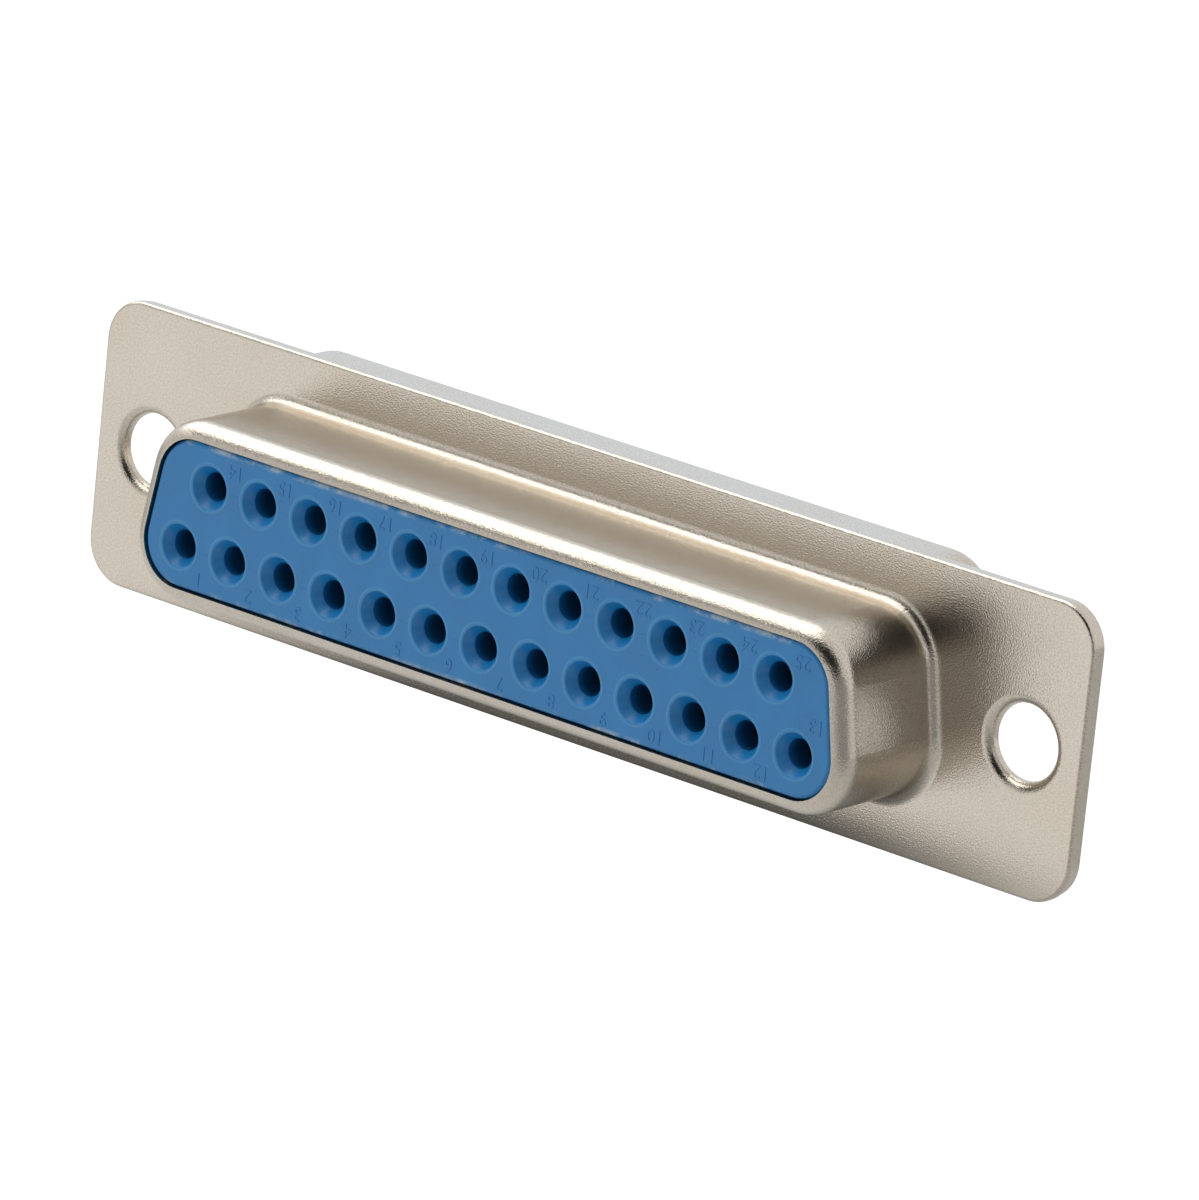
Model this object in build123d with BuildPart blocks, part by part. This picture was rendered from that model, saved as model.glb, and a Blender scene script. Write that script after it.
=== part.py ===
"""25-way D-sub socket connector: solder-cup contacts held in two drawn steel shells.

X runs along the rows of contacts, Y points away from the mating side and Z is up.
The origin is midway between the two panel holes, on the front face of the flange.
The wide side of the D, with 13 of the 25 contacts, is at the bottom.
"""
import os
from math import cos, radians, sqrt, tan

from build123d import *

# Contact pattern, in millimetres
pitch = 2.76
row_gap = 2.84
wide_row_count = 13
narrow_row_count = wide_row_count - 1

# Steel of both shells
sheet = 0.40
root_r = 0.50
taper = 10

# Collar that the plug slides over, measured outwards from the contacts
collar_side = 2.63
collar_rise = 2.53
collar_depth = 5.70
collar_corner_r = 2.60
lip_inner_r = 0.50
lip_overhang = 0.29

# Rear body, measured outwards from the collar
body_side = 0.70
body_rise = 1.73
body_depth = 4.10
body_corner_r = 2.30
body_root_r = 0.30
body_edge_inner_r = 0.30

# Flange
hole_step = 4.33
flange_end = 3.00
flange_rise = 2.325
flange_corner_r = 1.90
flange_edge_r = 0.16
rear_flange_inset = 0.08

# Panel holes, and the eyelets in them that rivet the shells together
hole_r = 1.60
hole_entry_r = 0.45
eyelet_wall = 0.30
eyelet_mouth = 0.25
eyelet_gap = 0.04
rivet_land = 0.10

# Insulators
mould_gap = 0.05
nose_chamfer = 0.35
heel_chamfer = 0.25
face_recess = 0.06
face_gap = 0.05
face_edge_r = 0.22
joint_depth = 2.20
boss_wall = 0.90
boss_corner_r = 1.90
boss_reach = 0.60
boss_edge_r = 0.30
boss_gap = 0.10

# Pin holes in the mating face
pin_hole_r = 0.62
pin_hole_land = 1.20
funnel_flare = 0.31
funnel_depth = 0.43
funnel_edge_r = 0.05

# Contacts
barrel_r = 0.85
barrel_bore_r = 0.55
barrel_tip_gap = 0.10
contact_gap = 0.05
tine_slot = 0.18
tine_length = 3.40
wing_reach = 0.30
wing_height = 0.90
wing_thickness = 0.50
tail_reach = 2.20
cup_r = 0.72
cup_length = 1.70
cup_scoop = 0.40

# Sizes that follow from the ones above; depths are measured back from the flange's front face
row_span = (wide_row_count - 1) * pitch
collar_width = row_span + 2 * collar_side
collar_height = row_gap + 2 * collar_rise
lip_reach = sheet + lip_overhang
lip_outer_r = lip_inner_r + sheet
lip_trim = lip_outer_r - sqrt(lip_outer_r**2 - (lip_outer_r - lip_reach) ** 2)
lip_crest = collar_depth + lip_trim
body_width = collar_width + 2 * body_side
body_height = collar_height + 2 * body_rise
body_floor = body_depth - sheet
hole_spacing = collar_width + 2 * hole_step
flange_length = hole_spacing + 2 * flange_end
flange_height = collar_height + 2 * flange_rise
flange_thickness = 2 * sheet
eyelet_r = hole_r + eyelet_wall
eyelet_flare = sheet - rivet_land
rivet_hole_r = eyelet_r + eyelet_gap
boss_width = row_span + 2 * (barrel_r + boss_wall)
boss_height = row_gap + 2 * (barrel_r + boss_wall)
boss_depth = body_depth + boss_reach
tail_depth = boss_depth + tail_reach
face_depth = face_recess - collar_depth
cavity_start = face_depth + funnel_depth + pin_hole_land
contact_tip = cavity_start + barrel_tip_gap
wing_span = 2 * (barrel_r + wing_reach)

# How far a cut runs past what it cuts, and how closely a face or a radius is matched
over = 1.0
near = 0.01


def facing(depth):
    """Sketch plane seen from the mating side, at this depth."""
    return Plane.XZ.offset(-depth)


def faces_at(part, depth):
    """The part's flat faces at this depth."""
    flat = part.faces().filter_by(Axis.Y)
    return flat.filter_by_position(Axis.Y, depth - near, depth + near)


def round_edges(part, radius):
    """The part's circular edges of this radius, grouped from the mating side back."""
    circles = part.edges().filter_by(GeomType.CIRCLE)
    matches = circles.filter_by(lambda edge: abs(edge.radius - radius) < near)
    return matches.group_by(Axis.Y)


def row_places(count, height):
    """Contact centres of one row, left to right as seen from the mating side."""
    first = -(count - 1) / 2 * pitch
    return [(first + place * pitch, height) for place in range(count)]


class DOutline(BaseSketchObject):
    """D with its wide side down, set in by a distance from a width, height and corner radius."""

    def __init__(self, width, height, corner_r, inset=0.0, mode=Mode.ADD):
        slope = radians(taper)
        rounding = corner_r - inset
        rise = height / 2 - inset
        half_wide = width / 2 - inset + rounding * (tan(slope) + 1 / cos(slope) - 1)
        half_narrow = half_wide - 2 * rise * tan(slope)
        with BuildSketch() as outline:
            with BuildLine():
                Polyline(
                    (-half_wide, -rise),
                    (half_wide, -rise),
                    (half_narrow, rise),
                    (-half_narrow, rise),
                    close=True,
                )
            make_face()
            fillet(outline.vertices(), rounding)
        super().__init__(outline.sketch, 0, None, mode)


collar_size = (collar_width, collar_height, collar_corner_r)
body_size = (body_width, body_height, body_corner_r)
boss_size = (boss_width, boss_height, boss_corner_r)
wide_row = row_places(wide_row_count, -row_gap / 2)
narrow_row = row_places(narrow_row_count, row_gap / 2)
contact_places = wide_row + narrow_row
hole_places = [(-hole_spacing / 2, 0), (hole_spacing / 2, 0)]

# Eyelet, still solid: drawn back through the rear shell and flared into its countersink
with BuildPart() as eyelet:
    with BuildSketch(Plane.XY):
        with BuildLine():
            Polyline(
                (0, 0),
                (eyelet_r, 0),
                (eyelet_r, flange_thickness - eyelet_flare),
                (eyelet_r + eyelet_flare, flange_thickness),
                (0, flange_thickness),
                close=True,
            )
        make_face()
    revolve(axis=Axis.Y)

# Space inside the collar, bounded by the inner side of the rolled lip
with BuildPart() as collar_space:
    with BuildSketch(facing(sheet)):
        DOutline(*collar_size, inset=sheet)
    extrude(amount=lip_crest)
    fillet(faces_at(collar_space, sheet - lip_crest).edges(), lip_inner_r)

# Front shell: flange, drawn collar and the two eyelets. The collar's lip rolls in and is trimmed before
# the crest of its roll, so the trimmed edge ends at the collar's depth
with BuildPart() as front_shell:
    with BuildSketch(facing(sheet)):
        RectangleRounded(flange_length, flange_height, flange_corner_r)
    extrude(amount=sheet)
    with BuildSketch(facing(0)):
        DOutline(*collar_size)
    extrude(amount=lip_crest)
    fillet(faces_at(front_shell, -lip_crest).edges(), lip_outer_r)
    fillet(faces_at(front_shell, 0)[0].inner_wires()[0].edges(), root_r)
    fillet(faces_at(front_shell, 0)[0].outer_wire().edges(), flange_edge_r)
    add(collar_space.part, mode=Mode.SUBTRACT)
    fillet(faces_at(front_shell, sheet)[0].inner_wires()[0].edges(), root_r + sheet)
    with BuildSketch(facing(lip_outer_r - lip_crest)):
        DOutline(*collar_size, inset=lip_reach)
    extrude(amount=lip_outer_r + over, mode=Mode.SUBTRACT)
    with Locations(*[(x, 0, z) for x, z in hole_places]):
        add(eyelet.part)
    with BuildSketch(facing(flange_thickness)):
        with Locations(*hole_places):
            Circle(hole_r)
    extrude(amount=flange_thickness, mode=Mode.SUBTRACT)
    fillet(round_edges(front_shell, hole_r)[0], hole_entry_r)
    chamfer(round_edges(front_shell, hole_r)[-1], eyelet_mouth)

# Space inside the rear body
with BuildPart() as body_space:
    with BuildSketch(facing(sheet)):
        DOutline(*body_size, inset=sheet)
    extrude(amount=sheet - body_floor)
    fillet(faces_at(body_space, body_floor).edges(), body_edge_inner_r)

# Rear shell: flange behind the front one, and the drawn body with an opening in its floor
with BuildPart() as rear_shell:
    with BuildSketch(facing(flange_thickness)):
        RectangleRounded(
            flange_length - 2 * rear_flange_inset,
            flange_height - 2 * rear_flange_inset,
            flange_corner_r - rear_flange_inset,
        )
    extrude(amount=sheet)
    with BuildSketch(facing(flange_thickness)):
        DOutline(*body_size)
    extrude(amount=flange_thickness - body_depth)
    fillet(faces_at(rear_shell, body_depth).edges(), body_edge_inner_r + sheet)
    fillet(faces_at(rear_shell, flange_thickness)[0].inner_wires()[0].edges(), body_root_r)
    add(body_space.part, mode=Mode.SUBTRACT)
    fillet(faces_at(rear_shell, sheet)[0].inner_wires()[0].edges(), body_root_r + sheet)
    with BuildSketch(facing(body_depth)):
        DOutline(*boss_size, inset=-boss_gap)
    extrude(amount=sheet + over, mode=Mode.SUBTRACT)
    with BuildSketch(facing(flange_thickness)):
        with Locations(*hole_places):
            Circle(rivet_hole_r)
    extrude(amount=sheet, mode=Mode.SUBTRACT)
    chamfer(round_edges(rear_shell, rivet_hole_r)[-1], eyelet_flare)

# Front insulator: nose in the collar, face in the lip, and a flange that the shells clamp
with BuildPart() as front_insulator:
    with BuildSketch(facing(joint_depth)):
        DOutline(*body_size, inset=sheet + mould_gap)
    extrude(amount=joint_depth - sheet)
    with BuildSketch(facing(sheet)):
        DOutline(*collar_size, inset=sheet + mould_gap)
    extrude(amount=lip_crest - mould_gap)
    chamfer(faces_at(front_insulator, sheet + mould_gap - lip_crest).edges(), nose_chamfer)
    with BuildSketch(facing(sheet)):
        DOutline(*collar_size, inset=lip_reach + face_gap)
    extrude(amount=sheet - face_depth)
    fillet(faces_at(front_insulator, face_depth).edges(), face_edge_r)
    with BuildSketch(facing(joint_depth)):
        with Locations(*contact_places):
            Circle(barrel_r + contact_gap)
    extrude(amount=joint_depth - cavity_start, mode=Mode.SUBTRACT)
    with BuildSketch(facing(joint_depth)):
        with Locations(*contact_places):
            Rectangle(wing_span + 2 * contact_gap, wing_height + 2 * contact_gap)
    extrude(amount=wing_thickness, mode=Mode.SUBTRACT)
    with BuildSketch(facing(cavity_start)):
        with Locations(*contact_places):
            Circle(pin_hole_r)
    extrude(amount=cavity_start - face_depth, mode=Mode.SUBTRACT)
    chamfer(round_edges(front_insulator, pin_hole_r)[0], funnel_flare, funnel_depth)
    fillet(round_edges(front_insulator, pin_hole_r + funnel_flare)[0], funnel_edge_r)

# Rear insulator: fills the rear body and reaches out through its floor around the tails
with BuildPart() as rear_insulator:
    with BuildSketch(facing(body_floor)):
        DOutline(*body_size, inset=sheet + mould_gap)
    extrude(amount=body_floor - joint_depth)
    chamfer(faces_at(rear_insulator, body_floor).edges(), heel_chamfer)
    with BuildSketch(facing(boss_depth)):
        DOutline(*boss_size)
    extrude(amount=boss_depth - joint_depth)
    fillet(faces_at(rear_insulator, boss_depth).edges(), boss_edge_r)
    with BuildSketch(facing(boss_depth)):
        with Locations(*contact_places):
            Circle(cup_r + contact_gap)
    extrude(amount=boss_depth - joint_depth, mode=Mode.SUBTRACT)

# Contact: barrel split into two tines, wings that lock it, and a thinner tail ending in a solder cup
with BuildPart() as contact:
    with BuildSketch(facing(joint_depth)):
        Circle(barrel_r)
        Circle(barrel_bore_r, mode=Mode.SUBTRACT)
    extrude(amount=joint_depth - contact_tip)
    with BuildSketch(facing(tail_depth)):
        Circle(cup_r)
        Circle(barrel_bore_r, mode=Mode.SUBTRACT)
    extrude(amount=tail_depth - joint_depth)
    with BuildSketch(facing(joint_depth)):
        Circle(barrel_r)
        Rectangle(wing_span, wing_height)
    extrude(amount=wing_thickness)
    with BuildSketch(facing(contact_tip + tine_length)):
        Rectangle(tine_slot, 2 * barrel_r + over)
    extrude(amount=tine_length + over, mode=Mode.SUBTRACT)
    with BuildSketch(Plane.YZ):
        with BuildLine():
            Polyline(
                (tail_depth - cup_length, 0),
                (tail_depth + over, 0),
                (tail_depth + over, cup_r + over),
                (tail_depth - cup_length - cup_scoop, cup_r + over),
                (tail_depth - cup_length - cup_scoop, cup_r),
                close=True,
            )
        make_face()
    extrude(amount=cup_r + over, both=True, mode=Mode.SUBTRACT)

front_shell.part.label = "front_shell"
rear_shell.part.label = "rear_shell"
front_insulator.part.label = "front_insulator"
rear_insulator.part.label = "rear_insulator"

os.makedirs("parts", exist_ok=True)
for piece in (front_shell, rear_shell, front_insulator, rear_insulator):
    export_step(piece.part, f"parts/{piece.part.label}.step")

# Cups open away from the middle, so the contacts of the wide row are turned over
for number, (x, z) in enumerate(contact_places, start=1):
    turn = 180 if z < 0 else 0
    seated = contact.part.moved(Location((x, 0, z), (0, turn, 0)))
    seated.label = f"contact_{number:02d}"
    export_step(seated, f"parts/{seated.label}.step")
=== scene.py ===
"""25-way D-sub socket connector: finishes, moulded numerals and a small studio round the CAD model.

X runs along the rows of contacts, Y points away from the mating side and Z is up. Lengths are in metres.
"""

from math import cos, radians, sin, tau

import bmesh
import bpy
from mathutils import Matrix, Vector


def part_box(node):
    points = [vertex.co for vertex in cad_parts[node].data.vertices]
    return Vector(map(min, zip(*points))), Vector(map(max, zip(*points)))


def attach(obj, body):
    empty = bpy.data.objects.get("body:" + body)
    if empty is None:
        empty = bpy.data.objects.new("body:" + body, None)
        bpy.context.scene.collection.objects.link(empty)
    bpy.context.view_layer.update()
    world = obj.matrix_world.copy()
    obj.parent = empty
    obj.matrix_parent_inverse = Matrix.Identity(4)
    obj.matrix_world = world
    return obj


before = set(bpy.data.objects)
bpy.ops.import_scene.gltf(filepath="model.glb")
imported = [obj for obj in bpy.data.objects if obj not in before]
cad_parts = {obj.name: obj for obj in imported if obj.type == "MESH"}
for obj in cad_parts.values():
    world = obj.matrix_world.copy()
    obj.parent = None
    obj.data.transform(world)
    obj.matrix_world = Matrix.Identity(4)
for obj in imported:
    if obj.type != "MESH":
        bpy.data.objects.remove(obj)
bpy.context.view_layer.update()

bl_info = {
    "name": "D-sub socket connector",
    "version": (1, 0, 0),
    "blender": (4, 5, 0),
    "location": "View3D > Sidebar > Connector",
    "description": "Finishes a D-sub socket connector and lights it for its picture",
    "category": "Object",
}

MM = 0.001

SHELLS = ["front_shell", "rear_shell"]
CONTACTS = sorted(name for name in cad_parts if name.startswith("contact_"))
# The first 13 contacts are the wide row at the bottom, from left to right
WIDE_ROW = CONTACTS[:13]


def middle(node):
    """Middle of a CAD node's box."""
    low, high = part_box(node)
    return (low + high) / 2


FACE_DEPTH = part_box("front_insulator")[0].y
PITCH = middle(WIDE_ROW[1]).x - middle(WIDE_ROW[0]).x
# Half the height of the mating face, and the radius of a funnel's mouth in it
FACE_RISE = 3.21 * MM
FUNNEL_RADIUS = 0.956 * MM

# From a hole's centre to its number. Beside the last hole of the wide row the face's corner leaves no room,
# so its number stands above it
WIDE_ROW_SHIFT = Vector((1.20, 0, -1.15)) * MM
WIDE_ROW_END_SHIFT = Vector((0.95, 0, 1.45)) * MM
NARROW_ROW_SHIFT = Vector((1.33, 0, 1.02)) * MM
# Share of a font's size that its digits stand high
DIGIT_SHARE = 0.72


def linear(code):
    """Linear colour, with alpha, of an sRGB hex code."""
    channels = [int(code[place:place + 2], 16) / 255 for place in (1, 3, 5)]
    return [c / 12.92 if c <= 0.04045 else ((c + 0.055) / 1.055) ** 2.4 for c in channels] + [1.0]


def add_node(tree, kind, settings=None, inputs=None):
    """Adds a node, sets its properties, and sets or links its input sockets."""
    node = tree.nodes.new(kind)
    for name, value in (settings or {}).items():
        setattr(node, name, value)
    for name, value in (inputs or {}).items():
        if isinstance(value, bpy.types.NodeSocket):
            tree.links.new(value, node.inputs[name])
        else:
            node.inputs[name].default_value = value
    return node


def new_material(name):
    """An empty node material, with its tree and output node."""
    made = bpy.data.materials.new(name)
    made.use_nodes = True
    tree = made.node_tree
    tree.nodes.clear()
    return made, tree, add_node(tree, "ShaderNodeOutputMaterial")


def per_mm(size):
    """Noise scale that gives features about this many millimetres across."""
    return 1 / (size * MM)


def dress(names, made):
    """Gives the CAD nodes a material in their own slots."""
    for name in names:
        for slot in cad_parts[name].material_slots:
            slot.material = made


def face_plastic():
    """Material of the mating face, which the marks raised from it share."""
    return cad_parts["front_insulator"].material_slots[0].material


def add_piece(name, shape, made):
    """Adds a new piece of the connector from its bmesh, riding on its one body."""
    mesh = bpy.data.meshes.new(name)
    shape.to_mesh(mesh)
    shape.free()
    piece = bpy.data.objects.new(name, mesh)
    bpy.context.scene.collection.objects.link(piece)
    mesh.materials.append(made)
    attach(piece, "root")


class ConnectorFinish(bpy.types.PropertyGroup):
    """Colours and surface grain of the real materials."""

    nickel: bpy.props.FloatVectorProperty(
        name="Nickel", description="Plated steel of the shells",
        subtype="COLOR", size=4, min=0, max=1, default=linear("#D7D0C6"),
    )
    nickel_warm: bpy.props.FloatVectorProperty(
        name="Warm nickel", description="Plating where it is thin and slightly tarnished",
        subtype="COLOR", size=4, min=0, max=1, default=linear("#CEC3B1"),
    )
    nickel_roughness: bpy.props.FloatProperty(
        name="Nickel roughness", description="Gloss of the plating", subtype="FACTOR",
        min=0, max=1, default=0.20,
    )
    plastic: bpy.props.FloatVectorProperty(
        name="Polyester", description="Moulded insulators",
        subtype="COLOR", size=4, min=0, max=1, default=linear("#1D83C5"),
    )
    plastic_scuffed: bpy.props.FloatVectorProperty(
        name="Scuffed polyester", description="Moulding where its edges are scuffed pale",
        subtype="COLOR", size=4, min=0, max=1, default=linear("#A9C2D6"),
    )
    # Paler blue of the funnels' rims: partly rub wear, and partly a painted sheen standing in for the rims'
    # highlight
    plastic_rubbed: bpy.props.FloatVectorProperty(
        name="Rubbed polyester", description="Moulding where plugs' pins have rubbed the funnels' rims",
        subtype="COLOR", size=4, min=0, max=1, default=linear("#3890CC"),
    )
    plastic_roughness: bpy.props.FloatProperty(
        name="Polyester roughness", description="Gloss of the moulding", subtype="FACTOR",
        min=0, max=1, default=0.29,
    )
    gold: bpy.props.FloatVectorProperty(
        name="Gold flash", description="Plated contacts",
        subtype="COLOR", size=4, min=0, max=1, default=linear("#D8B870"),
    )


class ConnectorMarks(bpy.types.PropertyGroup):
    """Marks that the mould leaves on the mating face."""

    numeral_height: bpy.props.FloatProperty(
        name="Numeral height", description="Height of the contact numbers",
        unit="LENGTH", min=0.0002, max=0.001, precision=5, default=0.62 * MM,
    )
    numeral_relief: bpy.props.FloatProperty(
        name="Numeral relief", description="How far the numbers stand out of the face",
        unit="LENGTH", min=0, max=0.0001, precision=6, default=0.022 * MM,
    )
    rim_width: bpy.props.FloatProperty(
        name="Rim width", description="Width of the bead round each funnel",
        unit="LENGTH", min=0.00001, max=0.0002, precision=6, default=0.16 * MM,
    )
    rim_relief: bpy.props.FloatProperty(
        name="Rim relief", description="How far the bead stands out of the face",
        unit="LENGTH", min=0, max=0.00005, precision=6, default=0.018 * MM,
    )
    mark_length: bpy.props.FloatProperty(
        name="Mark length", description="Length of the marks between neighbouring holes",
        unit="LENGTH", min=0.0001, max=0.001, precision=5, default=0.42 * MM,
    )
    mark_width: bpy.props.FloatProperty(
        name="Mark width", description="Width of those marks",
        unit="LENGTH", min=0.00001, max=0.0002, precision=6, default=0.056 * MM,
    )
    mark_relief: bpy.props.FloatProperty(
        name="Mark relief", description="How far those marks stand out of the face",
        unit="LENGTH", min=0, max=0.0001, precision=6, default=0.012 * MM,
    )


class ConnectorStudio(bpy.types.PropertyGroup):
    """Camera, floor and light."""

    azimuth: bpy.props.FloatProperty(
        name="Azimuth", description="Camera's turn to the right of the mating side",
        subtype="ANGLE", default=radians(38.528),
    )
    elevation: bpy.props.FloatProperty(
        name="Elevation", description="Camera's height above the horizon",
        subtype="ANGLE", default=radians(16.305),
    )
    roll: bpy.props.FloatProperty(
        name="Roll", description="Camera's tilt round its own axis",
        subtype="ANGLE", default=radians(5.913),
    )
    distance: bpy.props.FloatProperty(
        name="Distance", description="From the camera to the connector",
        unit="LENGTH", default=0.4508,
    )
    lens: bpy.props.FloatProperty(
        name="Lens", description="Focal length in millimetres", default=330.0,
    )
    floor_drop: bpy.props.FloatProperty(
        name="Floor drop", description="From the connector's middle down to the floor",
        unit="LENGTH", default=0.22,
    )
    ambient: bpy.props.FloatProperty(
        name="Ambient light", description="Light of the studio's walls on the connector, where 1 is white",
        min=0, max=1, default=0.49,
    )
    front_walls: bpy.props.FloatProperty(
        name="Front walls", description="Brightness of the walls in front as the plating mirrors them",
        min=0, max=1, default=0.70,
    )
    back_sweep: bpy.props.FloatProperty(
        name="Back sweep", description="Brightness of the sweep behind as the plating mirrors it",
        min=0, max=1, default=0.85,
    )
    floor_glow: bpy.props.FloatProperty(
        name="Floor glow", description="Extra brightness of the floor as the plating mirrors it",
        min=0, max=1, default=0.15,
    )


def nickel_plate(finish):
    """Nickel plate over drawn steel sheet: satin, with the fine orange peel that drawing leaves."""
    made, tree, output = new_material("nickel_plated_drawn_steel")
    place = add_node(tree, "ShaderNodeTexCoord").outputs["Object"]
    # Tarnish in patches of about 5 mm keeps large flat areas from one even colour
    tarnish = add_node(tree, "ShaderNodeTexNoise", None, {
        "Vector": place, "Scale": per_mm(5.0), "Detail": 4.0, "Roughness": 0.6,
    })
    tone = add_node(tree, "ShaderNodeMix", {"data_type": "RGBA"}, {
        0: tarnish.outputs["Fac"], 6: finish.nickel, 7: finish.nickel_warm,
    })
    # Pits about 0.1 mm across dull the plating as fine speckle
    pits = add_node(tree, "ShaderNodeTexNoise", None, {
        "Vector": place, "Scale": per_mm(0.09), "Detail": 2.0, "Roughness": 0.6,
    })
    speckle = add_node(tree, "ShaderNodeMapRange", None, {
        "Value": pits.outputs["Fac"], "From Min": 0.35, "From Max": 0.65, "To Min": 0.88, "To Max": 1.07,
    })
    plated = add_node(tree, "ShaderNodeVectorMath", {"operation": "SCALE"}, {
        0: tone.outputs[2], "Scale": speckle.outputs["Result"],
    })
    # Orange peel: grains of about 0.07 mm roughened by the draw, over waves of about 3 mm in the sheet
    peel = add_node(tree, "ShaderNodeTexNoise", None, {
        "Vector": place, "Scale": per_mm(0.07), "Detail": 1.0, "Roughness": 0.5,
    })
    waves = add_node(tree, "ShaderNodeTexNoise", None, {
        "Vector": place, "Scale": per_mm(3.0), "Detail": 1.0, "Roughness": 0.4,
    })
    waved = add_node(tree, "ShaderNodeBump", None, {
        "Strength": 1.0, "Distance": 0.005 * MM, "Height": waves.outputs["Fac"],
    })
    peeled = add_node(tree, "ShaderNodeBump", None, {
        "Strength": 1.0, "Distance": 0.0125 * MM,
        "Height": peel.outputs["Fac"], "Normal": waved.outputs["Normal"],
    })
    gloss = add_node(tree, "ShaderNodeMapRange", None, {
        "Value": tarnish.outputs["Fac"],
        "To Min": finish.nickel_roughness - 0.04, "To Max": finish.nickel_roughness + 0.05,
    })
    shader = add_node(tree, "ShaderNodeBsdfPrincipled", None, {
        "Base Color": plated.outputs["Vector"], "Metallic": 1.0,
        "Roughness": gloss.outputs["Result"], "Normal": peeled.outputs["Normal"],
    })
    tree.links.new(shader.outputs["BSDF"], output.inputs["Surface"])
    return made


def moulded_polyester(name, blue, finish, mating=False):
    """Glass-filled polyester, injection moulded: semi-gloss, with the mould's faint spark-eroded grain."""
    made, tree, output = new_material(name)
    place = add_node(tree, "ShaderNodeTexCoord").outputs["Object"]
    axes = add_node(tree, "ShaderNodeSeparateXYZ", None, {"Vector": place})
    # Flow of the filled plastic mottles the blue in patches of about 2 mm
    mottle = add_node(tree, "ShaderNodeTexNoise", None, {
        "Vector": place, "Scale": per_mm(2.0), "Detail": 5.0, "Roughness": 0.6,
    })
    shade = add_node(tree, "ShaderNodeMapRange", None, {
        "Value": mottle.outputs["Fac"], "From Min": 0.3, "From Max": 0.7, "To Min": 0.94, "To Max": 1.06,
    })
    # Below the funnels the colour darkens with depth into the bores: painted shade, where little light
    # reaches down the holes
    painted_hole_shade = add_node(tree, "ShaderNodeMapRange", None, {
        "Value": axes.outputs["Y"], "From Min": FACE_DEPTH + 0.35 * MM, "From Max": FACE_DEPTH + 0.9 * MM,
        "To Min": 1.0, "To Max": 0.45 if mating else 1.0,
    })
    mottle_and_painted_hole_shade = add_node(tree, "ShaderNodeMath", {"operation": "MULTIPLY"}, {
        0: shade.outputs["Result"], 1: painted_hole_shade.outputs["Result"],
    })
    body = add_node(tree, "ShaderNodeVectorMath", {"operation": "SCALE"}, {
        0: blue[:3], "Scale": mottle_and_painted_hole_shade.outputs["Value"],
    })
    # The long edges of the mating face are scuffed pale in ragged patches, where it was pushed past the lip
    level = add_node(tree, "ShaderNodeMath", {"operation": "ABSOLUTE"}, {0: axes.outputs["Z"]})
    border = add_node(tree, "ShaderNodeMapRange", None, {
        "Value": level.outputs["Value"], "From Min": FACE_RISE - 0.28 * MM, "From Max": FACE_RISE - 0.14 * MM,
    })
    ragged = add_node(tree, "ShaderNodeTexNoise", None, {
        "Vector": place, "Scale": per_mm(1.9), "Detail": 8.0, "Roughness": 0.72,
    })
    patches = add_node(tree, "ShaderNodeMapRange", None, {
        "Value": ragged.outputs["Fac"], "From Min": 0.49, "From Max": 0.62, "To Max": 1.0 if mating else 0.0,
    })
    scuff = add_node(tree, "ShaderNodeMath", {"operation": "MULTIPLY"}, {
        0: border.outputs["Result"], 1: patches.outputs["Result"],
    })
    tone = add_node(tree, "ShaderNodeMix", {"data_type": "RGBA"}, {
        0: scuff.outputs["Value"], 6: body.outputs["Vector"], 7: finish.plastic_scuffed,
    })
    # The mould's grain, of about 0.1 mm, breaks up the gloss
    grain = add_node(tree, "ShaderNodeTexNoise", None, {
        "Vector": place, "Scale": per_mm(0.09), "Detail": 2.0, "Roughness": 0.5,
    })
    rough = add_node(tree, "ShaderNodeBump", None, {
        "Strength": 1.0, "Distance": 0.0022 * MM, "Height": grain.outputs["Fac"],
    })
    gloss = add_node(tree, "ShaderNodeMapRange", None, {
        "Value": mottle.outputs["Fac"],
        "To Min": finish.plastic_roughness - 0.05, "To Max": finish.plastic_roughness + 0.05,
    })
    shader = add_node(tree, "ShaderNodeBsdfPrincipled", None, {
        "Base Color": tone.outputs[2], "Roughness": gloss.outputs["Result"],
        "IOR": 1.55, "Normal": rough.outputs["Normal"],
    })
    tree.links.new(shader.outputs["BSDF"], output.inputs["Surface"])
    return made


def gold_flash(finish):
    """Thin gold over turned brass: bright, with fine turning rings round each contact."""
    made, tree, output = new_material("gold_flashed_turned_brass")
    place = add_node(tree, "ShaderNodeTexCoord").outputs["Object"]
    # Turning rings about 0.7 mm apart, which is coarser than a lathe leaves
    rings = add_node(tree, "ShaderNodeTexWave", {"bands_direction": "Y"}, {
        "Vector": place, "Scale": per_mm(2.2), "Distortion": 2.0, "Detail": 2.0, "Detail Scale": 1.5,
    })
    turned = add_node(tree, "ShaderNodeBump", None, {
        "Strength": 1.0, "Distance": 0.003 * MM, "Height": rings.outputs["Fac"],
    })
    # The flash is brighter and duller in patches of about 0.8 mm
    patches = add_node(tree, "ShaderNodeTexNoise", None, {
        "Vector": place, "Scale": per_mm(0.8), "Detail": 3.0,
    })
    gloss = add_node(tree, "ShaderNodeMapRange", None, {
        "Value": patches.outputs["Fac"], "To Min": 0.22, "To Max": 0.38,
    })
    shader = add_node(tree, "ShaderNodeBsdfPrincipled", None, {
        "Base Color": finish.gold, "Metallic": 1.0,
        "Roughness": gloss.outputs["Result"], "Normal": turned.outputs["Normal"],
    })
    tree.links.new(shader.outputs["BSDF"], output.inputs["Surface"])
    return made


class CONNECTOR_OT_shells(bpy.types.Operator):
    """Plate both steel shells"""

    bl_idname = "connector.shells"
    bl_label = "Shells"

    def execute(self, context):
        dress(SHELLS, nickel_plate(context.scene.connector_finish))
        return {"FINISHED"}


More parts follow.
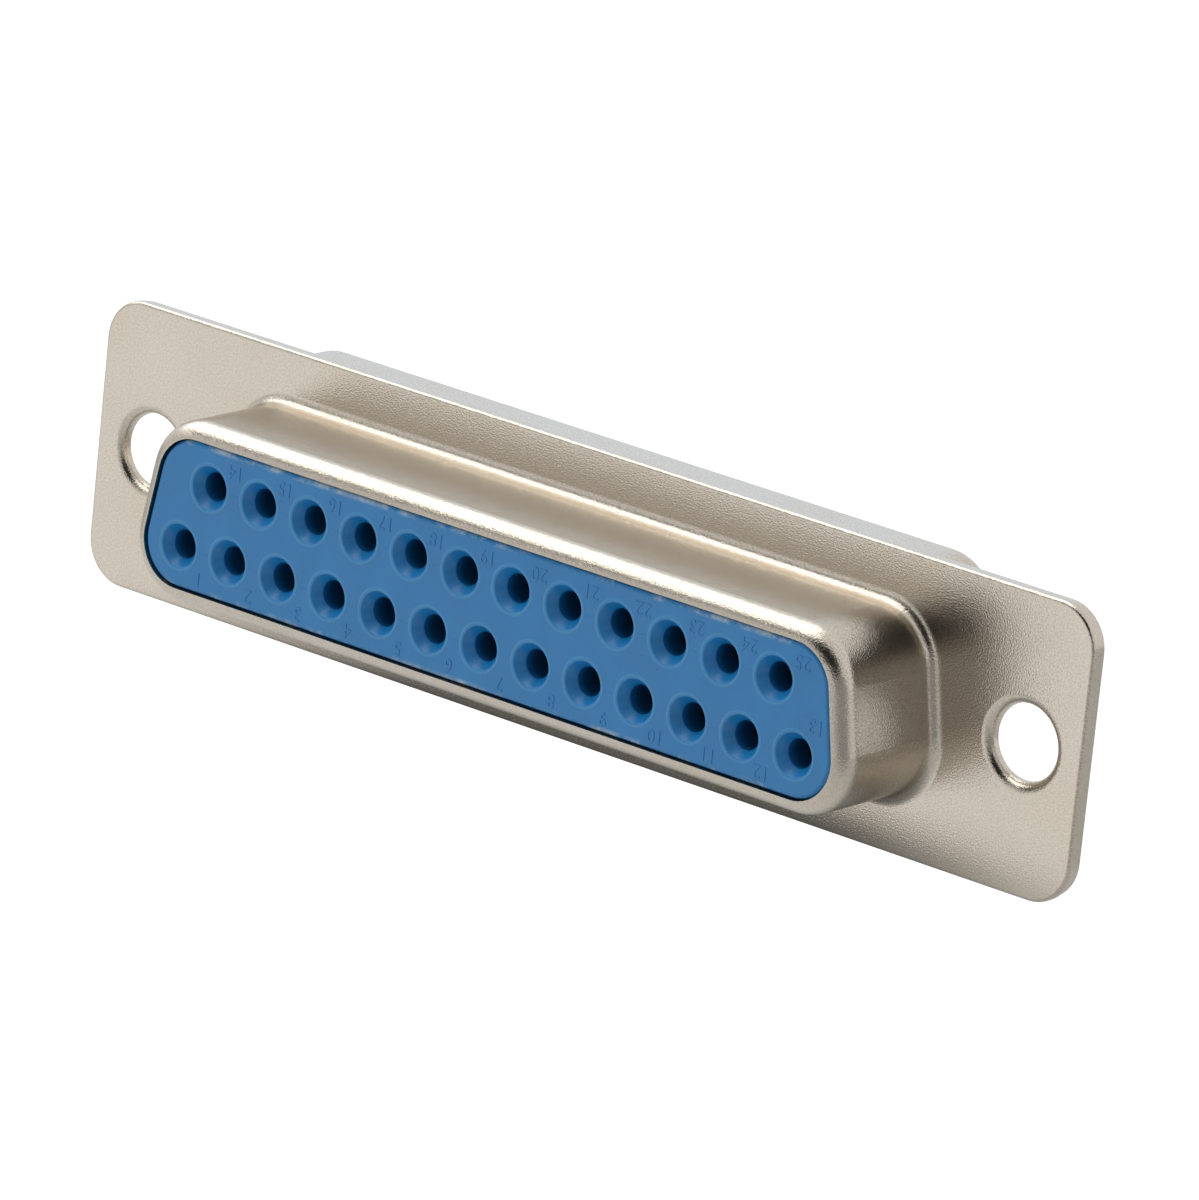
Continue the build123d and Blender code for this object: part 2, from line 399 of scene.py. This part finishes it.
class CONNECTOR_OT_insulators(bpy.types.Operator):
    """Mould both insulators in blue polyester"""

    bl_idname = "connector.insulators"
    bl_label = "Insulators"

    def execute(self, context):
        finish = context.scene.connector_finish
        face = moulded_polyester("moulded_polyester_face", finish.plastic, finish, mating=True)
        dress(["front_insulator"], face)
        dress(["rear_insulator"], moulded_polyester("moulded_polyester_rear", finish.plastic, finish))
        return {"FINISHED"}


class CONNECTOR_OT_contacts(bpy.types.Operator):
    """Flash the contacts with gold"""

    bl_idname = "connector.contacts"
    bl_label = "Contacts"

    def execute(self, context):
        dress(CONTACTS, gold_flash(context.scene.connector_finish))
        return {"FINISHED"}


def numeral_place(name):
    """Where a contact's number stands on the mating face: beside its hole, towards the outer edge."""
    hole = middle(name)
    if name == WIDE_ROW[-1]:
        shift = WIDE_ROW_END_SHIFT
    elif name in WIDE_ROW:
        shift = WIDE_ROW_SHIFT
    else:
        shift = NARROW_ROW_SHIFT
    return Vector((hole.x, FACE_DEPTH, hole.z)) + shift


class CONNECTOR_OT_numerals(bpy.types.Operator):
    """Raise each contact's number on the mating face, upright when the wide side is up"""

    bl_idname = "connector.numerals"
    bl_label = "Numerals"

    def execute(self, context):
        marks = context.scene.connector_marks
        # From the text's own plane to the mating face, upside down as seen with the wide side down
        turn = Matrix(((-1, 0, 0), (0, 0, -1), (0, -1, 0))).to_4x4()
        joined = bmesh.new()
        for number, name in enumerate(CONTACTS, start=1):
            text = bpy.data.curves.new("numeral", "FONT")
            text.body = str(number)
            text.align_x = "CENTER"
            text.align_y = "CENTER"
            text.size = marks.numeral_height / DIGIT_SHARE
            text.extrude = marks.numeral_relief
            text.resolution_u = 4
            shaper = bpy.data.objects.new("numeral", text)
            mesh = bpy.data.meshes.new_from_object(shaper)
            mesh.transform(Matrix.Translation(numeral_place(name)) @ turn)
            joined.from_mesh(mesh)
            bpy.data.objects.remove(shaper)
            bpy.data.curves.remove(text)
            bpy.data.meshes.remove(mesh)
        add_piece("numerals", joined, face_plastic())
        return {"FINISHED"}


class CONNECTOR_OT_funnel_rims(bpy.types.Operator):
    """Leave the fine bead that the core pins raise round each funnel"""

    bl_idname = "connector.funnel_rims"
    bl_label = "Funnel rims"

    def execute(self, context):
        finish, marks = context.scene.connector_finish, context.scene.connector_marks
        width, relief = marks.rim_width, marks.rim_relief
        # Across the bead, from its root at the funnel to its root in the face
        section = [(0.0, 0.2), (0.15, -0.45), (0.4, -1.0), (0.6, -1.0), (0.85, -0.45), (1.0, 0.2)]
        steps = 64
        joined = bmesh.new()
        for name in CONTACTS:
            hole = middle(name)
            rings = []
            for across, out in section:
                radius = FUNNEL_RADIUS + across * width
                rings.append([joined.verts.new((
                    hole.x + radius * cos(step * tau / steps), FACE_DEPTH + out * relief,
                    hole.z + radius * sin(step * tau / steps),
                )) for step in range(steps)])
            for inner, outer in zip(rings, rings[1:]):
                for step in range(steps):
                    after = (step + 1) % steps
                    joined.faces.new((inner[step], inner[after], outer[after], outer[step])).smooth = True
        bmesh.ops.recalc_face_normals(joined, faces=joined.faces)
        # The rims' paler blue is rub wear and also a painted sheen for their highlight
        rim_wear_sheen_plastic = moulded_polyester("moulded_polyester_rub_wear_sheen", finish.plastic_rubbed, finish)
        add_piece("funnel_rims", joined, rim_wear_sheen_plastic)
        return {"FINISHED"}


class CONNECTOR_OT_mould_marks(bpy.types.Operator):
    """Leave the mould's short marks between neighbouring holes of each row"""

    bl_idname = "connector.mould_marks"
    bl_label = "Mould marks"

    def execute(self, context):
        marks = context.scene.connector_marks
        relief = marks.mark_relief
        half_length, half_width = marks.mark_length / 2, marks.mark_width / 2
        # Each mark comes to a point over its last tenth at both ends, and its sides lean in to the crest
        shoulder = half_length * 0.9
        crest_length, crest_width = 0.92, 0.5
        foot = [(-half_length, 0), (-shoulder, -half_width), (shoulder, -half_width),
                (half_length, 0), (shoulder, half_width), (-shoulder, half_width)]
        top = [(x * crest_length, z * crest_width) for x, z in foot]
        joined = bmesh.new()
        for name in CONTACTS:
            if name in (WIDE_ROW[-1], CONTACTS[-1]):
                continue
            hole = middle(name)
            centre = Vector((hole.x + PITCH / 2, FACE_DEPTH, hole.z))
            low = [joined.verts.new(centre + Vector((x, relief, z))) for x, z in foot]
            crest = [joined.verts.new(centre + Vector((x, -relief, z))) for x, z in top]
            for here in range(len(foot)):
                after = (here + 1) % len(foot)
                joined.faces.new((low[here], low[after], crest[after], crest[here]))
            joined.faces.new(crest)
            joined.faces.new(reversed(low))
        bmesh.ops.recalc_face_normals(joined, faces=joined.faces)
        add_piece("mould_marks", joined, face_plastic())
        return {"FINISHED"}


def seen_as(tree, mirrored, lit):
    """White for the camera's own rays, with other levels for what metal mirrors and for light on things."""
    path = add_node(tree, "ShaderNodeLightPath")
    mirror = add_node(tree, "ShaderNodeMath", {"operation": "MAXIMUM"}, {
        0: path.outputs["Is Glossy Ray"], 1: path.outputs["Is Transmission Ray"],
    })
    indirect = add_node(tree, "ShaderNodeMix", None, {0: mirror.outputs["Value"], 2: lit, 3: mirrored})
    return add_node(tree, "ShaderNodeMix", None, {
        0: path.outputs["Is Camera Ray"], 2: indirect.outputs[0], 3: 1.0,
    }).outputs[0]


def flat_sheet(name, width, height, made):
    """A flat rectangle round its own middle."""
    corners = [(-width / 2, -height / 2, 0), (width / 2, -height / 2, 0),
               (width / 2, height / 2, 0), (-width / 2, height / 2, 0)]
    mesh = bpy.data.meshes.new(name)
    mesh.from_pydata(corners, [], [(0, 1, 2, 3)])
    mesh.materials.append(made)
    return bpy.data.objects.new(name, mesh)


def add_card(name, centre, width, height, brightness, colour="#FFFFFF", fade=0.45, away=None):
    """An oval card that fades out to its rim and faces the connector; the camera itself doesn't see it.

    Its back points straight away from the connector, or along away where that is given.
    """
    made, tree, output = new_material(name)
    # The card's own square, from 0 to 1, is stretched to run from -1 to 1 round its middle
    square = add_node(tree, "ShaderNodeTexCoord").outputs["Generated"]
    across = add_node(tree, "ShaderNodeMapping", None, {
        "Vector": square, "Location": (-1, -1, 0), "Scale": (2, 2, 0),
    })
    inward = add_node(tree, "ShaderNodeTexGradient", {"gradient_type": "SPHERICAL"}, {
        "Vector": across.outputs["Vector"],
    })
    cover = add_node(tree, "ShaderNodeMapRange", {"interpolation_type": "SMOOTHSTEP"}, {
        "Value": inward.outputs["Fac"], "From Max": fade,
    })
    clear = add_node(tree, "ShaderNodeBsdfTransparent")
    glow = add_node(tree, "ShaderNodeEmission", None, {"Color": linear(colour), "Strength": brightness})
    soft = add_node(tree, "ShaderNodeMixShader", None, {
        0: cover.outputs["Result"], 1: clear.outputs["BSDF"], 2: glow.outputs["Emission"],
    })
    tree.links.new(soft.outputs["Shader"], output.inputs["Surface"])
    card = flat_sheet(name, width, height, made)
    turn = Vector(away or centre).to_track_quat("-Z", "Y").to_matrix().to_4x4()
    card.matrix_world = Matrix.Translation(centre) @ turn
    card.visible_camera = False
    card.visible_shadow = False
    bpy.context.scene.collection.objects.link(card)
    return card


def add_softbox(name, direction, distance, width, height, watts):
    """A soft rectangular lamp that faces the connector from a direction."""
    lamp = bpy.data.lights.new(name, "AREA")
    lamp.shape = "RECTANGLE"
    lamp.size = width
    lamp.size_y = height
    lamp.energy = watts
    box = bpy.data.objects.new(name, lamp)
    toward = Vector(direction).normalized()
    turn = toward.to_track_quat("Z", "Y").to_matrix().to_4x4()
    box.matrix_world = Matrix.Translation(toward * distance) @ turn
    box.visible_camera = False
    bpy.context.scene.collection.objects.link(box)


class CONNECTOR_OT_studio(bpy.types.Operator):
    """Set up the floor, the light and the camera"""

    bl_idname = "connector.studio"
    bl_label = "Studio"

    def execute(self, context):
        studio = context.scene.connector_studio
        scene = context.scene
        scene.view_settings.view_transform = "Standard"

        world = bpy.data.worlds.new("studio_walls")
        world.use_nodes = True
        tree = world.node_tree
        tree.nodes.clear()
        # A white sweep stands behind the connector, and the walls in front of it are dimmer
        sweep = add_node(tree, "ShaderNodeTexCoord").outputs["Generated"]
        depth = add_node(tree, "ShaderNodeSeparateXYZ", None, {"Vector": sweep})
        level = add_node(tree, "ShaderNodeMapRange", None, {
            "Value": depth.outputs["Y"], "From Min": -0.3, "From Max": 0.4,
            "To Min": studio.front_walls, "To Max": studio.back_sweep,
        })
        walls = add_node(tree, "ShaderNodeBackground", None, {
            "Color": (1, 1, 1, 1), "Strength": seen_as(tree, level.outputs["Result"], studio.ambient),
        })
        add_node(tree, "ShaderNodeOutputWorld", None, {"Surface": walls.outputs["Background"]})
        scene.world = world

        # To the camera the floor's own light adds to what falls on it, so that the floor shows nearly white
        floor_lift = (0.62, 0.62, 0.62, 1)
        floor_side = 6.0
        made, tree, output = new_material("pale_floor")
        paint = add_node(tree, "ShaderNodeBsdfDiffuse", None, {"Color": linear("#E4E4E4")})
        lift = add_node(tree, "ShaderNodeEmission", None, {
            "Color": floor_lift, "Strength": seen_as(tree, studio.floor_glow, 0.0),
        })
        both = add_node(tree, "ShaderNodeAddShader", None, {
            0: paint.outputs["BSDF"], 1: lift.outputs["Emission"],
        })
        tree.links.new(both.outputs["Shader"], output.inputs["Surface"])
        floor = flat_sheet("floor", floor_side, floor_side, made)
        floor.location.z = -studio.floor_drop
        scene.collection.objects.link(floor)

        # The softbox stands high at the left. A white reflector front-left fills the flat faces, a cool one
        # behind lights the top of the rear body, and a grey one dims the right side
        add_softbox("softbox_key", (-0.60, -0.05, 0.80), distance=0.6, width=0.7, height=0.7, watts=2.1)
        add_card("reflector_white", (-0.28, -0.34, -0.11), width=0.90, height=0.33, brightness=0.97)
        add_card("reflector_cool", (-0.30, 0.37, 0.14), width=0.80, height=0.42, brightness=1.04,
                 colour="#EBF4FF")
        add_card("reflector_grey", (0.40, -0.30, 0.03), width=0.80, height=0.40, brightness=0.30)
        # The next three show only in the plating. The first gives the drawn corners their dark patches, and
        # the second is the dim gap between the softbox and the white reflector. The last stands in for the
        # connector's shadow on a table just below it, though the real floor lies further down
        darks = (
            add_card("reflector_dark_above", (0.13, -0.34, 0.27), width=0.80, height=0.56, brightness=0.01),
            add_card("reflector_dim_gap", (-0.28, -0.27, 0.25), width=0.60, height=0.12, brightness=0.20),
            add_card("contact_shadow", (0.003, -0.0003, -0.00635), width=0.062, height=0.012,
                     brightness=0.12, fade=0.7, away=(0, 0, -1)),
        )
        for card in darks:
            card.visible_diffuse = False

        azimuth, elevation, roll = studio.azimuth, studio.elevation, studio.roll
        back = Vector((sin(azimuth) * cos(elevation), -cos(azimuth) * cos(elevation), sin(elevation)))
        level_right = Vector((cos(azimuth), sin(azimuth), 0))
        level_up = back.cross(level_right)
        right = cos(roll) * level_right + sin(roll) * level_up
        up = cos(roll) * level_up - sin(roll) * level_right
        # The picture's middle lies a little right of the connector's and below it
        aim_right, aim_down = 1.112, 0.271
        aim = (aim_right * right - aim_down * up) * MM
        lens = bpy.data.cameras.new("camera")
        lens.lens = studio.lens
        lens.clip_start = 0.01
        lens.clip_end = 10.0
        camera = bpy.data.objects.new("camera", lens)
        camera.matrix_world = Matrix.Translation(aim + studio.distance * back) @ Matrix(
            (right, up, back)).transposed().to_4x4()
        scene.collection.objects.link(camera)
        scene.camera = camera
        return {"FINISHED"}


class CONNECTOR_PT_sidebar(bpy.types.Panel):
    """Lists the connector's pieces, finishes and studio"""

    bl_idname = "CONNECTOR_PT_sidebar"
    bl_label = "Connector"
    bl_space_type = "VIEW_3D"
    bl_region_type = "UI"
    bl_category = "Connector"

    def draw(self, context):
        for made in OPERATORS:
            self.layout.operator(made.bl_idname)
        for name in GROUPS:
            group = getattr(context.scene, name)
            box = self.layout.box()
            for setting in group.__annotations__:
                box.prop(group, setting)


OPERATORS = (
    CONNECTOR_OT_shells,
    CONNECTOR_OT_insulators,
    CONNECTOR_OT_contacts,
    CONNECTOR_OT_numerals,
    CONNECTOR_OT_funnel_rims,
    CONNECTOR_OT_mould_marks,
    CONNECTOR_OT_studio,
)
GROUPS = {
    "connector_finish": ConnectorFinish,
    "connector_marks": ConnectorMarks,
    "connector_studio": ConnectorStudio,
}


def register():
    for made in (*GROUPS.values(), *OPERATORS, CONNECTOR_PT_sidebar):
        bpy.utils.register_class(made)
    for name, group in GROUPS.items():
        setattr(bpy.types.Scene, name, bpy.props.PointerProperty(type=group))


def unregister():
    for name in GROUPS:
        delattr(bpy.types.Scene, name)
    for made in (CONNECTOR_PT_sidebar, *reversed(OPERATORS), *reversed(GROUPS.values())):
        bpy.utils.unregister_class(made)


def main():
    register()
    bpy.ops.connector.shells()
    bpy.ops.connector.insulators()
    bpy.ops.connector.contacts()
    bpy.ops.connector.numerals()
    bpy.ops.connector.funnel_rims()
    bpy.ops.connector.mould_marks()
    bpy.ops.connector.studio()


if __name__ == "__main__":
    main()
